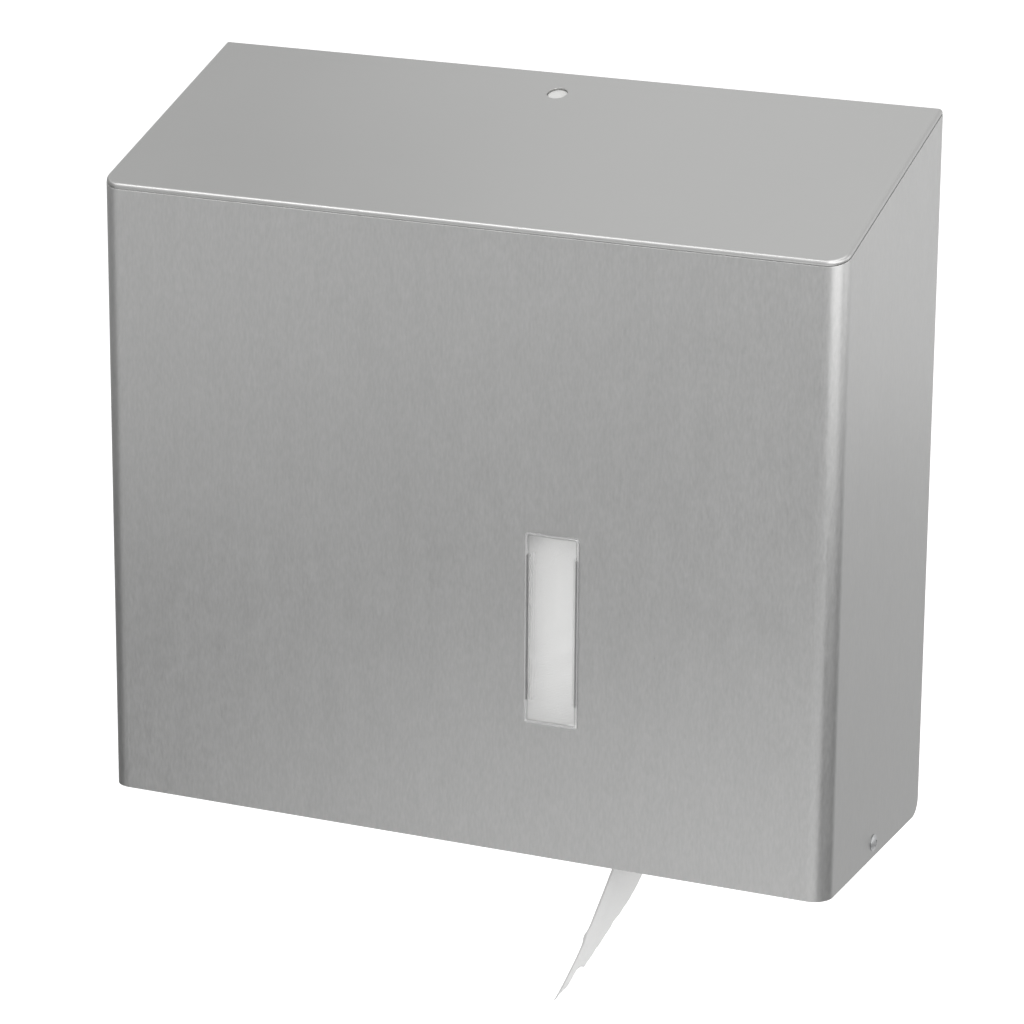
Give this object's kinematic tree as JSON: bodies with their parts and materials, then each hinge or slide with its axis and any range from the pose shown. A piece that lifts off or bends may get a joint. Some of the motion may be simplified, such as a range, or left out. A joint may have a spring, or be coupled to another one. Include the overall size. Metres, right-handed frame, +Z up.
{
  "type": "jumbo toilet roll dispenser",
  "caption": "Wall-mounted steel box with a sloping top that holds one large paper roll on a spindle; the cover tips forward on bottom hinges when its sprung catch is pressed.",
  "frame": {"origin": "middle of the four wall screw holes, on the plane of the wall", "axes": "+X to the viewer's right, -Y out of the wall towards the viewer, +Z up; the mounts' axes point into the wall, +Y"},
  "size_m": [0.375, 0.1318, 0.4288],
  "materials": {
    "brushed_steel": "vertical brushed grain",
    "satin_steel": "satin, fine grain",
    "mill_steel": "mill finish sheet",
    "rivet_steel": "plain domed rivet",
    "zinc_steel": "bright zinc plate",
    "spring_wire": "drawn spring wire",
    "clear_plastic": "clear, slightly hazy moulding",
    "white_plastic": "moulded, fine texture",
    "white_nylon": "natural nylon",
    "grey_felt": "pressed felt",
    "core_board": "spiral-wound board",
    "tissue_roll": "soft tissue, wound",
    "tissue_sheet": "soft tissue"
  },
  "bodies": {
    "wall_unit": {"back_plate": "mill_steel", "hinge_rivet_left": "rivet_steel", "hinge_rivet_right": "rivet_steel", "hinge_washer_left": "white_nylon", "hinge_washer_right": "white_nylon", "spindle_cup": "mill_steel", "spindle_rivets": "rivet_steel", "roll_axle": "zinc_steel", "friction_washer": "grey_felt", "thrust_washer": "zinc_steel", "axle_clip": "zinc_steel", "lock_housing": "white_plastic", "lock_screws": "zinc_steel", "lock_spring": "spring_wire", "tear_bar_left": "mill_steel", "tear_bar_right": "mill_steel", "tear_bar_rivets": "rivet_steel", "paper_tail": "tissue_sheet"},
    "cover": {"cover_shell": "brushed_steel", "cover_cap": "satin_steel", "window_insert": "clear_plastic", "catch_plate": "mill_steel", "hinge_plate_left": "mill_steel", "hinge_plate_right": "mill_steel"},
    "catch": {"lock_button": "white_plastic"},
    "roll": {"core_hub": "white_plastic", "roll_core": "core_board", "paper_roll": "tissue_roll"}
  },
  "joints": [
    {"name": "cover_open", "type": "hinge", "parent": "wall_unit", "child": "cover", "pos_m": [0, -0.066, -0.1675], "axis": [1, 0, 0], "range_deg": [0, 90], "deforming": ["paper_tail"]},
    {"name": "lock_press", "type": "slide", "parent": "wall_unit", "child": "catch", "axis": [0, 0, -1], "range_m": [0, 0.006], "stiffness_N_per_m": 400, "springref_m": -0.004, "deforming": ["lock_spring"]},
    {"name": "roll_spin", "type": "hinge", "parent": "wall_unit", "child": "roll", "pos_m": [0, -0.063, -0.005], "axis": [0, -1, 0], "continuous": true}
  ]
}
